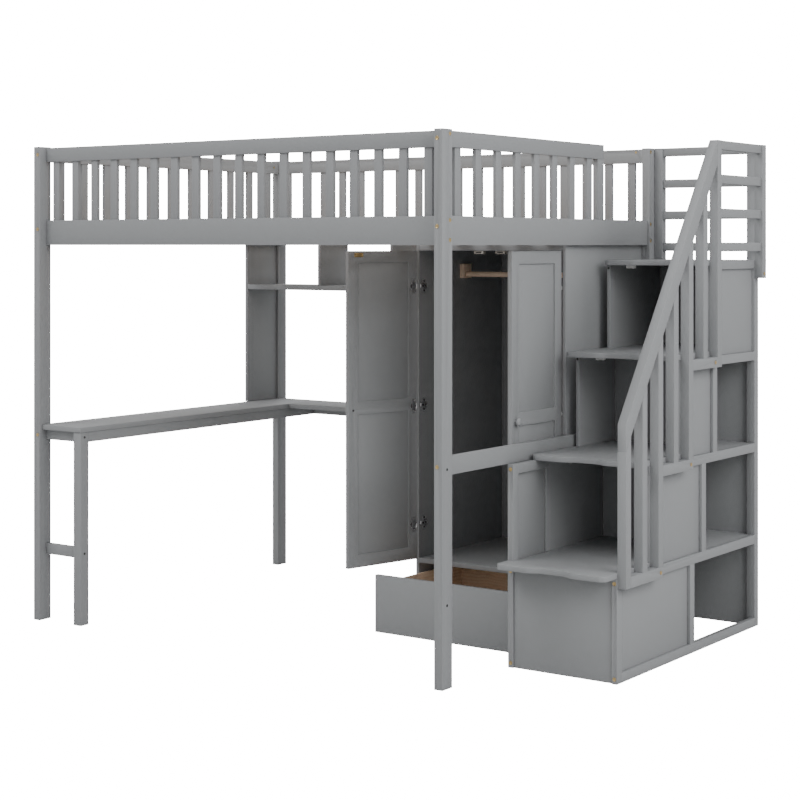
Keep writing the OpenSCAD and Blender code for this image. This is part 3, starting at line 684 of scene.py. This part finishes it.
class LOFT_OT_hinge_plates(bpy.types.Operator):
    """Screw the cross-shaped mounting plates and their arms to the wardrobe sides"""
    bl_idname = "loft.hinge_plates"
    bl_label = "Fit Hinge Plates"

    def execute(self, context):
        centre_x = corner("wardrobe_back", 0.5, 0, 0).x
        plates, arms, screws = [], [], []
        for part in loose_parts("hinge_plates"):
            spot = middle(part)
            into = 1 if spot.x < centre_x else -1
            wall = part[0].x if into > 0 else part[1].x
            front = part[0].y
            y = front + CROSS_Y
            normal = (into, 0, 0)
            plates.append(block(CROSS_BAR, (wall + into * CROSS_BAR[0] / 2, y, spot.z), 0.0007))
            foot_place = (wall + into * CROSS_FOOT[0] / 2, y + CROSS_FOOT_Y, spot.z)
            plates.append(block(CROSS_FOOT, foot_place, 0.0009))
            arm = block(ARM, (wall + into * ARM_LIFT, front + ARM[1] / 2, spot.z), 0.0016)
            arms.append(drive_recess(arm, 0.0022, 0.0012, normal))
            for lift in (-CROSS_SCREW_Z, CROSS_SCREW_Z):
                screws.append(screw((wall + into * CROSS_BAR[0], y, spot.z + lift), normal))
            for step in ARM_SCREW_Y:
                screws.append(screw((wall + into * ARM_SCREW_LIFT, front + step, spot.z), normal))
        plate = settle(join(plates), "hinge_cross_plates", named("nickel"), "root")
        settle(join(arms), "hinge_arms", named("nickel"), "root")
        settle(join(screws), "hinge_plate_screws", named("dark_steel"), "root")
        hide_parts("hinge_plates")
        return {"FINISHED"}


# ---------------------------------------------------------------- fasteners
BOLT_DOME = 0.0014
BOLT_LONGER_THAN = 0.030    # shorter solids among the fasteners are barrel nuts
BOLT_END = 0.0005           # points this near a bolt's end belong to its end face
DOWEL_R = 0.0048
DOWEL_PROUD = 0.0006
DESK_RAIL_HALF = 0.021
TREAD_DOWEL_UNDER = 0.012
CLIP_BEHIND_WALL = 0.004


def bolt_ends():
    """Head centre and outward direction of every bolt, found from the shanks' wider ends."""
    ends = []
    for low, high, points in loose_parts("bolts_and_nuts"):
        size = high - low
        axis = max(range(3), key=lambda index: size[index])
        if size[axis] < BOLT_LONGER_THAN:
            continue
        rest = [index for index in range(3) if index != axis]
        centre = (low + high) / 2
        reach = {}
        for sign, level in ((-1, low[axis]), (1, high[axis])):
            ring = [point for point in points if abs(point[axis] - level) < BOLT_END]
            reach[sign] = max((math.dist([point[index] for index in rest], [centre[index] for index in rest])
                               for point in ring), default=0)
        sign = max(reach, key=reach.get)
        outward = Vector((0, 0, 0))
        outward[axis] = sign
        centre[axis] = high[axis] if sign > 0 else low[axis]
        ends.append((centre, outward))
    return ends


class LOFT_OT_fasteners(bpy.types.Operator):
    """Dome and socket the bolt heads, and fit the cross dowels"""
    bl_idname = "loft.fasteners"
    bl_label = "Fit Fasteners"

    def execute(self, context):
        radius = settings("hardware").bolt_d / 2
        heads = []
        for centre, outward in bolt_ends():
            head = disc(radius, BOLT_DOME, centre, outward, 0.0006, sides=28)
            heads.append(drive_recess(head, radius * 0.52, 0.0012, outward))
        settle(join(heads), "bolt_head_sockets", named("brass"), "root")

        dowels = []
        lower = corner("desk_rails", 0, 0, 0).z + DESK_RAIL_HALF
        upper = corner("mid_rail", 0, 0, 0.35).z
        for node in ("post_front_right", "desk_leg"):
            face = corner(node, 1, 0.48, 0)
            for height in (lower, upper):
                dowels.append((Vector((face.x, face.y, height)), Vector((1, 0, 0))))
        wall = corner("stair_inner_wall", 0.5, 0, 0)
        levels = sorted({(round(clip[0].y, 4), round(clip[1].z, 4)) for clip in loose_parts("tread_clips")})
        for clip_front, clip_top in levels[1:]:
            place = Vector((wall.x, clip_front - CLIP_BEHIND_WALL, clip_top - TREAD_DOWEL_UNDER))
            dowels.append((place, Vector((0, -1, 0))))
        pins = []
        for centre, outward in dowels:
            pin = disc(DOWEL_R, DOWEL_PROUD, centre, outward, 0.0002)
            pins.append(drive_recess(pin, 0.0014, 0.0005, outward))
        settle(join(pins), "cross_dowels", named("dark_steel"), "root")
        return {"FINISHED"}


CLIP_SCREW_X = 0.010
CATCH_SCREW_X = 0.017
MAGNET_DEPTH = 0.0014
MAGNET_PROUD = 0.0002       # how far the magnet's middle stands before the catch


class LOFT_OT_clips(bpy.types.Operator):
    """Round the plastic tread clips and door catches and screw them on"""
    bl_idname = "loft.clips"
    bl_label = "Fit Clips and Catches"

    def execute(self, context):
        bodies, screws = [], []
        for part in loose_parts("tread_clips"):
            spot = middle(part)
            clip = block(part[1] - part[0], spot, 0.0022)
            bodies.append(drive_recess(clip, 0.0030, 0.0020, (0, -1, 0)))
            for step in (-CLIP_SCREW_X, CLIP_SCREW_X):
                screws.append(screw((spot.x + step, spot.y, part[0].z), (0, 0, -1)))
        clips = settle(join(bodies), "tread_clip_blocks", named("white_plastic"), "root")
        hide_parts("tread_clips")
        cases, magnets = [], []
        for part in loose_parts("door_catches"):
            spot = middle(part)
            size = part[1] - part[0]
            cases.append(block(size, spot, 0.0020))
            magnets.append(block((size.x * 0.62, MAGNET_DEPTH, size.z * 0.45),
                                 (spot.x, part[0].y - MAGNET_PROUD, spot.z), 0.0004))
            for step in (-CATCH_SCREW_X, CATCH_SCREW_X):
                screws.append(screw((spot.x + step, spot.y, part[0].z), (0, 0, -1)))
        catches = settle(join(cases), "catch_cases", named("catch_plastic"), "root")
        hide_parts("door_catches")
        settle(join(magnets), "catch_magnets", named("dark_steel"), "root")
        settle(join(screws), "clip_screws", named("nickel"), "root")
        return {"FINISHED"}


CHANNEL_LIP = 0.003
CHANNEL_HOLLOW = 0.6        # share of a channel's thickness that is hollow
SLIDE_SCREWS = (0.08, 0.5, 0.92)


def channel(low, high, open_side):
    """A rolled steel channel filling a box, hollow on one X side."""
    size = high - low
    piece = block(size, (low + high) / 2, 0.0008)
    pick(piece)
    mesh = bmesh.new()
    mesh.from_mesh(piece.data)
    side = max(mesh.faces, key=lambda face: face.calc_area() * (face.normal.x * open_side > 0.9))
    bmesh.ops.inset_region(mesh, faces=[side], thickness=CHANNEL_LIP)
    bmesh.ops.translate(mesh, verts=side.verts, vec=(-open_side * size.x * CHANNEL_HOLLOW, 0, 0))
    mesh.to_mesh(piece.data)
    mesh.free()
    return piece


class LOFT_OT_slides(bpy.types.Operator):
    """Roll the drawer slides' channels and screw them on"""
    bl_idname = "loft.slides"
    bl_label = "Fit Drawer Slides"

    def execute(self, context):
        middle_x = corner("wardrobe_back", 0.5, 0, 0).x
        for node, body, facing in (("drawer_runners", "root", 1), ("drawer_slides", "drawer", -1)):
            rails, screws = [], []
            for low, high, _ in loose_parts(node):
                into = facing if (low.x + high.x) / 2 < middle_x else -facing
                rails.append(channel(low, high, into))
                web = (high.x if into > 0 else low.x) - into * (high.x - low.x) * CHANNEL_HOLLOW
                for share in SLIDE_SCREWS:
                    y = low.y + (high.y - low.y) * share
                    screws.append(screw((web, y, (low.z + high.z) / 2), (into, 0, 0)))
            rail = settle(join(rails), node + "_channels", named("nickel"), body)
            settle(join(screws), node + "_screws", named("dark_steel"), body)
            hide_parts(node)
        return {"FINISHED"}


# ---------------------------------------------------------------- stage
LAMP_SIZE = 4.0


def area_light(name, place, target, power):
    data = bpy.data.lights.new(name, "AREA")
    data.shape = "SQUARE"
    data.size = LAMP_SIZE
    data.energy = power
    lamp = bpy.data.objects.new(name, data)
    bpy.context.scene.collection.objects.link(lamp)
    lamp.location = place
    lamp.rotation_euler = (Vector(target) - Vector(place)).to_track_quat("-Z", "Y").to_euler()


def stand_camera(stage):
    data = bpy.data.cameras.new("Camera")
    data.sensor_width = 36
    data.lens = stage.lens
    data.shift_x, data.shift_y = stage.shift_x, stage.shift_y
    data.clip_end = 200
    camera = bpy.data.objects.new("Camera", data)
    bpy.context.scene.collection.objects.link(camera)
    camera.location = stage.eye
    camera.rotation_euler = (math.radians(90), 0, stage.turn)
    bpy.context.scene.camera = camera


def floor_material(stage):
    """A pale matt floor that looks nearly white to the camera only."""
    pale = bpy.data.materials.new("pale_floor")
    pale.use_nodes = True
    tree = pale.node_tree
    shader = tree.nodes["Principled BSDF"]
    shader.inputs["Base Color"].default_value = (0.5, 0.5, 0.5, 1)
    shader.inputs["Roughness"].default_value = 0.9
    glow = tree.nodes.new("ShaderNodeEmission")
    glow.inputs["Strength"].default_value = stage.floor_glow
    seen = tree.nodes.new("ShaderNodeLightPath")
    mix = tree.nodes.new("ShaderNodeMixShader")
    share = math_node(tree, "MULTIPLY", seen.outputs["Is Camera Ray"], stage.floor_share)
    tree.links.new(share, mix.inputs["Fac"])
    tree.links.new(shader.outputs["BSDF"], mix.inputs[1])
    tree.links.new(glow.outputs["Emission"], mix.inputs[2])
    tree.links.new(mix.outputs["Shader"], tree.nodes["Material Output"].inputs["Surface"])
    return pale


def lay_floor(stage):
    deselect()
    bpy.ops.mesh.primitive_plane_add(size=stage.floor_size, location=(0, 0, -0.0005))
    floor = bpy.context.object
    floor.name = "floor"
    floor.data.materials.append(floor_material(stage))


def light_world(stage):
    """An even white sky, brighter where the camera sees it than where it lights the bed."""
    world = bpy.data.worlds.new("studio")
    bpy.context.scene.world = world
    world.use_nodes = True
    sky = world.node_tree
    plain = sky.nodes["Background"]
    plain.inputs["Color"].default_value = (1, 1, 1, 1)
    path = sky.nodes.new("ShaderNodeLightPath")
    lift = math_node(sky, "MULTIPLY", path.outputs["Is Camera Ray"], stage.backdrop - stage.ambient)
    sky.links.new(math_node(sky, "ADD", lift, stage.ambient), plain.inputs["Strength"])


class LOFT_OT_studio(bpy.types.Operator):
    """Lay the pale floor, hang the lights and stand the camera"""
    bl_idname = "loft.studio"
    bl_label = "Set Up Studio"

    def execute(self, context):
        stage = settings("stage")
        stand_camera(stage)
        lay_floor(stage)
        light_world(stage)
        area_light("key", (-3.0, -5.0, 7.5), (0, 0, 1.2), stage.key)
        area_light("side", (6.5, -1.5, 4.0), (0.5, 0, 0.9), stage.side)
        area_light("back", (-2.5, 6.0, 4.5), (0, 0, 1.0), stage.back)
        return {"FINISHED"}


class LOFT_PT_panel(bpy.types.Panel):
    """Lists the steps in the order they are run"""
    bl_idname = "LOFT_PT_panel"
    bl_label = "Loft Bed"
    bl_space_type = "VIEW_3D"
    bl_region_type = "UI"
    bl_category = "Loft Bed"

    def draw(self, context):
        for operator in OPERATORS:
            self.layout.operator(operator.bl_idname)


GROUPS = {"board": BoardSettings, "paint": PaintSettings, "hardware": HardwareSettings,
          "stage": StageSettings}
OPERATORS = (LOFT_OT_studio, LOFT_OT_finishes, LOFT_OT_boards, LOFT_OT_door_hardware, LOFT_OT_hinge_plates,
             LOFT_OT_fasteners, LOFT_OT_clips, LOFT_OT_slides)
CLASSES = (*GROUPS.values(), *OPERATORS, LOFT_PT_panel)


def register():
    for cls in CLASSES:
        bpy.utils.register_class(cls)
    for name, group in GROUPS.items():
        setattr(bpy.types.Scene, "loft_" + name, PointerProperty(type=group))


def unregister():
    for name in GROUPS:
        delattr(bpy.types.Scene, "loft_" + name)
    for cls in reversed(CLASSES):
        bpy.utils.unregister_class(cls)


def main():
    register()
    for operator in OPERATORS:
        family, step = operator.bl_idname.split(".")
        getattr(getattr(bpy.ops, family), step)()
    bpy.context.view_layer.update()


if __name__ == "__main__":
    main()
